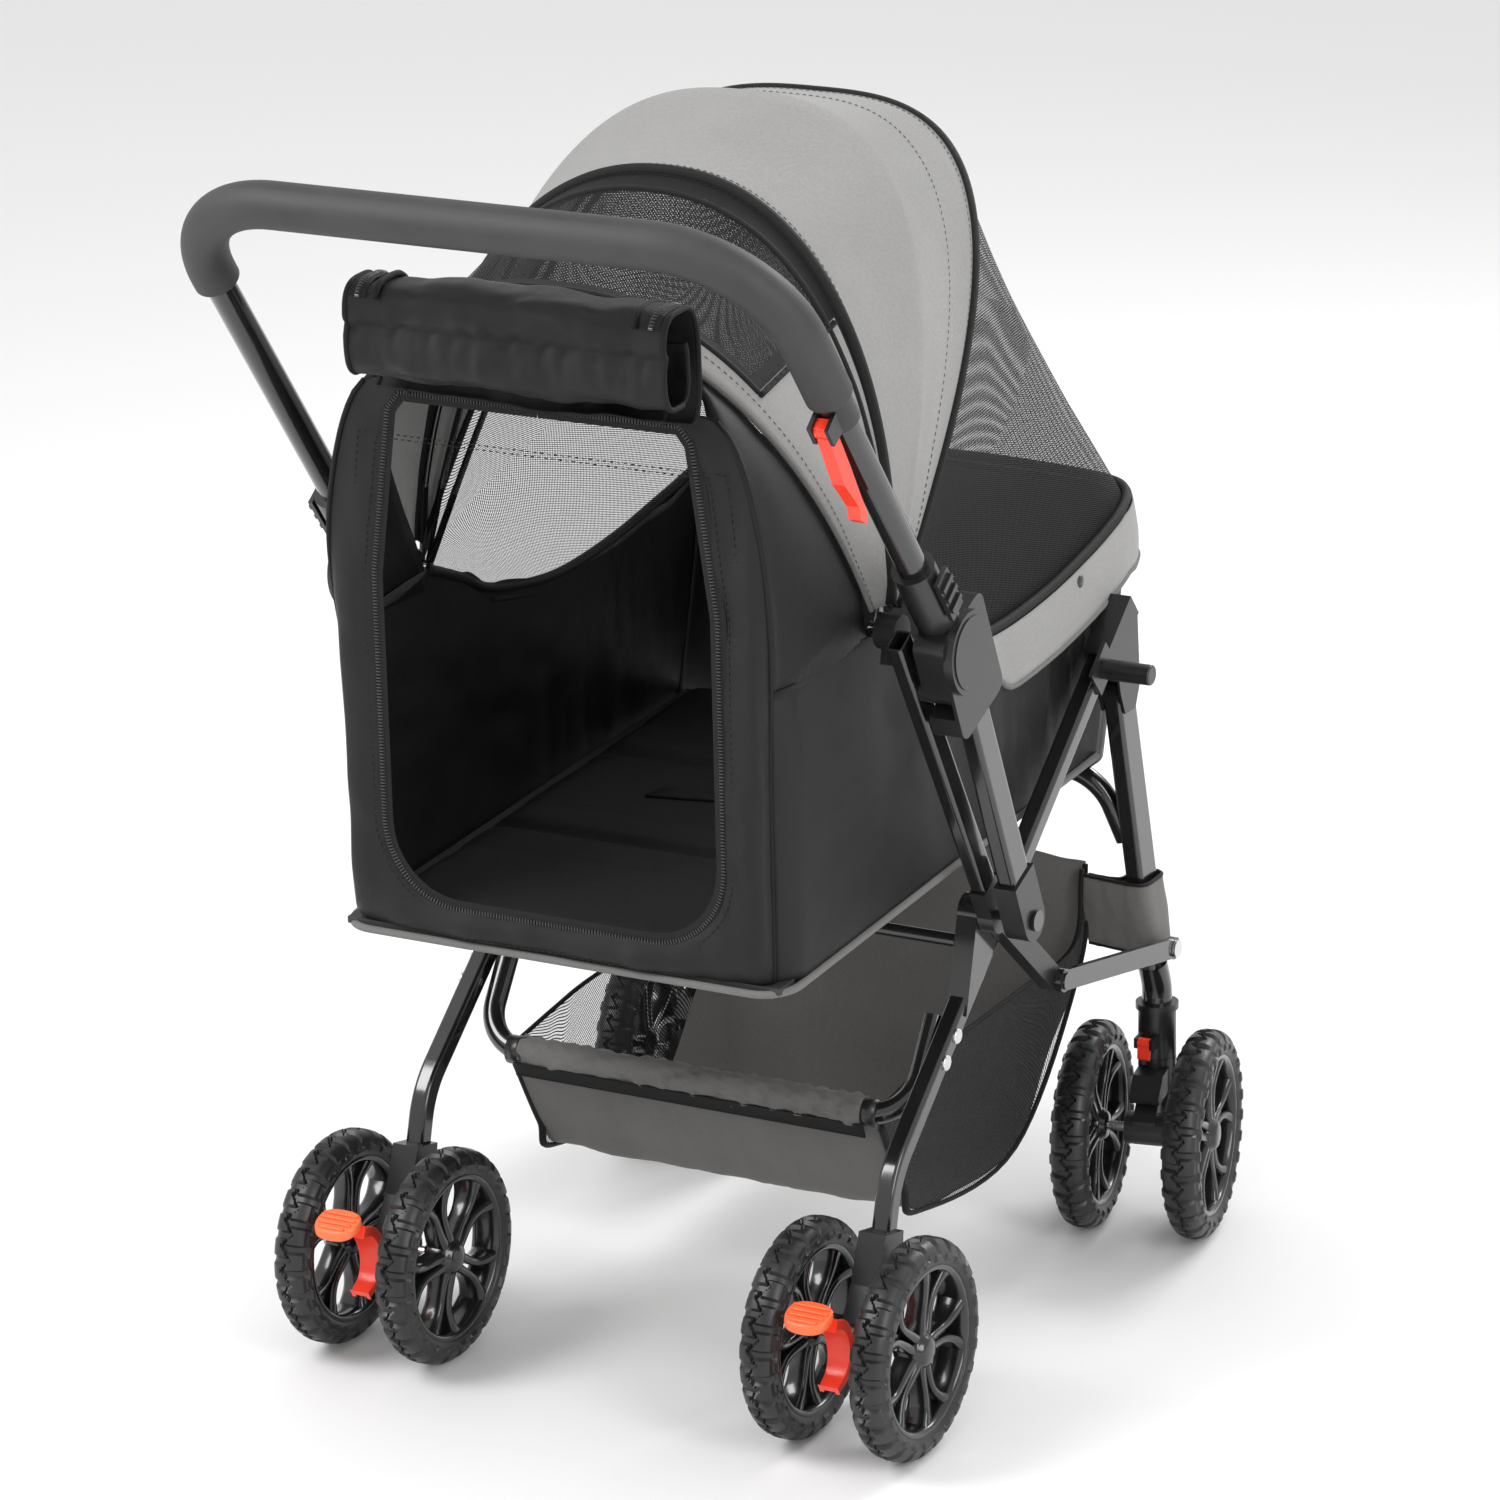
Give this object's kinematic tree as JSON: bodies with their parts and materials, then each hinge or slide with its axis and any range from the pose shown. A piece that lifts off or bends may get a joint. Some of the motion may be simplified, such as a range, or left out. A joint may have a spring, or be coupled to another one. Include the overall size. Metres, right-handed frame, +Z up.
{
  "type": "folding pet stroller",
  "caption": "Folding pet stroller with a canopied fabric cabin, rear door, reversible handle, under-basket, twin front casters and braked twin rear wheels.",
  "frame": {"origin": "centre of the footprint on the floor", "axes": "+Y is the direction of travel (the handle is at -Y), +X the right-hand side seen from behind, +Z up"},
  "size_m": [0.5542, 0.7391, 0.944],
  "materials": {
    "frame": "gloss",
    "plastic": "satin",
    "grip": "matte",
    "tyre": "matte",
    "rim": "gloss",
    "red": "gloss",
    "steel": "satin",
    "canopy_cloth": "matte",
    "cabin_cloth": "satin",
    "net": "matte",
    "pad": "matte",
    "board": "matte",
    "basket_cloth": "matte"
  },
  "bodies": {
    "rear_frame": {"rear_leg_left": "frame", "rear_leg_right": "frame", "rear_axle_housings": "plastic", "upright_brackets": "frame", "front_hinge_brackets": "plastic", "front_latch_pegs": "plastic", "frame_rivets": "steel", "basket_bar": "frame", "cross_rod": "frame", "cabin_rear_panel": "cabin_cloth", "cabin_sides": "cabin_cloth", "cabin_front": "cabin_cloth", "floor_board": "board", "floor_pad": "pad", "door_roll": "cabin_cloth", "basket_sling": "basket_cloth", "basket_mesh_sides": "net"},
    "uprights": {"uprights": "frame", "upright_feet": "plastic", "rear_latch_pegs": "plastic", "canopy_pivots": "plastic", "canopy_rib_rear": "frame", "canopy_cover": "canopy_cloth", "canopy_mesh": "net"},
    "canopy_middle": {"canopy_rib_middle": "frame"},
    "canopy_front": {"canopy_rib_front": "frame"},
    "handle": {"handle_bar": "frame", "handle_grip": "grip", "handle_legs": "frame", "handle_end_caps": "plastic", "latch_housings": "plastic", "lever_mount": "plastic"},
    "latch_right": {"latch_slider_right": "plastic"},
    "latch_left": {"latch_slider_left": "plastic"},
    "lever": {"release_lever": "red"},
    "front_legs": {"front_legs": "frame", "front_leg_pins": "steel", "front_cross_brace": "frame", "caster_sockets": "plastic"},
    "links": {"fold_links": "frame"},
    "caster_right": {"caster_fork_right": "plastic"},
    "swivel_lock_right": {"swivel_lock_right": "red"},
    "brake_right": {"brake_pedal_right": "red"},
    "rear_wheels_right": {"tyres_rear_right": "tyre", "rims_rear_right": "rim", "axle_rear_right": "steel"},
    "front_wheels_right": {"tyres_front_right": "tyre", "rims_front_right": "rim", "axle_front_right": "steel"},
    "caster_left": {"caster_fork_left": "plastic"},
    "swivel_lock_left": {"swivel_lock_left": "red"},
    "brake_left": {"brake_pedal_left": "red"},
    "rear_wheels_left": {"tyres_rear_left": "tyre", "rims_rear_left": "rim", "axle_rear_left": "steel"},
    "front_wheels_left": {"tyres_front_left": "tyre", "rims_front_left": "rim", "axle_front_left": "steel"}
  },
  "joints": [
    {"name": "frame_fold", "type": "hinge", "parent": "rear_frame", "child": "uprights", "pos_m": [0, 0.0107, 0.35], "axis": [-1, 0, 0], "range_deg": [0, 72], "deforming": ["cabin_rear_panel", "cabin_sides", "cabin_front", "door_roll", "basket_sling", "basket_mesh_sides"]},
    {"name": "front_leg_fold", "type": "hinge", "parent": "rear_frame", "child": "front_legs", "pos_m": [0, 0.2577, 0.4495], "axis": [-1, 0, 0], "range_deg": [0, 37.3]},
    {"name": "link_fold", "type": "hinge", "parent": "front_legs", "child": "links", "pos_m": [0, 0.2987, 0.23], "axis": [-1, 0, 0], "range_deg": [-53, 0]},
    {"name": "handle_reverse", "type": "hinge", "parent": "uprights", "child": "handle", "pos_m": [0, 0.0107, 0.35], "axis": [1, 0, 0], "range_deg": [-73.6, 0]},
    {"name": "canopy_fold", "type": "hinge", "parent": "uprights", "child": "canopy_front", "pos_m": [0, -0.1143, 0.6], "axis": [1, 0, 0], "range_deg": [0, 22], "deforming": ["canopy_cover", "canopy_mesh"]},
    {"name": "canopy_middle_follow", "type": "hinge", "parent": "uprights", "child": "canopy_middle", "pos_m": [0, -0.1143, 0.6], "axis": [1, 0, 0], "range_deg": [0, 12.2]},
    {"name": "release_lever_squeeze", "type": "hinge", "parent": "handle", "child": "lever", "pos_m": [0.23606, -0.27485, 0.79119], "axis": [1, 0, 0], "range_deg": [0, 4], "stiffness_Nm_per_rad": 1.5, "springref_deg": -5.73},
    {"name": "latch_slide_right", "type": "slide", "parent": "handle", "child": "latch_right", "axis": [0, -0.5968, 0.8024], "range_m": [0, 0.01], "stiffness_N_per_m": 400, "springref_m": -0.005},
    {"name": "caster_swivel_right", "type": "hinge", "parent": "front_legs", "child": "caster_right", "pos_m": [0.205, 0.3127, 0.134], "axis": [0, 0, 1], "continuous": true},
    {"name": "front_wheels_spin_right", "type": "hinge", "parent": "caster_right", "child": "front_wheels_right", "pos_m": [0.21111, 0.28129, 0.0825], "axis": [0.9816, 0.1908, 0], "continuous": true},
    {"name": "rear_wheels_spin_right", "type": "hinge", "parent": "rear_frame", "child": "rear_wheels_right", "pos_m": [0.199, -0.1793, 0.0825], "axis": [1, 0, 0], "continuous": true},
    {"name": "swivel_lock_flip_right", "type": "hinge", "parent": "front_legs", "child": "swivel_lock_right", "pos_m": [0.205, 0.2907, 0.15], "axis": [-1, 0, 0], "range_deg": [0, 10]},
    {"name": "brake_press_right", "type": "hinge", "parent": "rear_frame", "child": "brake_right", "pos_m": [0.199, -0.2063, 0.066], "axis": [1, 0, 0], "range_deg": [0, 18]},
    {"name": "latch_slide_left", "type": "slide", "parent": "handle", "child": "latch_left", "axis": [0, -0.5968, 0.8024], "range_m": [0, 0.01], "stiffness_N_per_m": 400, "springref_m": -0.005},
    {"name": "caster_swivel_left", "type": "hinge", "parent": "front_legs", "child": "caster_left", "pos_m": [-0.205, 0.3127, 0.134], "axis": [0, 0, 1], "continuous": true},
    {"name": "front_wheels_spin_left", "type": "hinge", "parent": "caster_left", "child": "front_wheels_left", "pos_m": [-0.19889, 0.28129, 0.0825], "axis": [0.9816, 0.1908, 0], "continuous": true},
    {"name": "rear_wheels_spin_left", "type": "hinge", "parent": "rear_frame", "child": "rear_wheels_left", "pos_m": [-0.199, -0.1793, 0.0825], "axis": [1, 0, 0], "continuous": true},
    {"name": "swivel_lock_flip_left", "type": "hinge", "parent": "front_legs", "child": "swivel_lock_left", "pos_m": [-0.205, 0.2907, 0.15], "axis": [-1, 0, 0], "range_deg": [0, 10]},
    {"name": "brake_press_left", "type": "hinge", "parent": "rear_frame", "child": "brake_left", "pos_m": [-0.199, -0.2063, 0.066], "axis": [1, 0, 0], "range_deg": [0, 18]}
  ],
  "couplings": [
    {"joint": "front_leg_fold", "follows": "frame_fold", "ratio": 0.517},
    {"joint": "link_fold", "follows": "frame_fold", "ratio": -0.735},
    {"joint": "canopy_middle_follow", "follows": "canopy_fold", "ratio": 0.55}
  ]
}
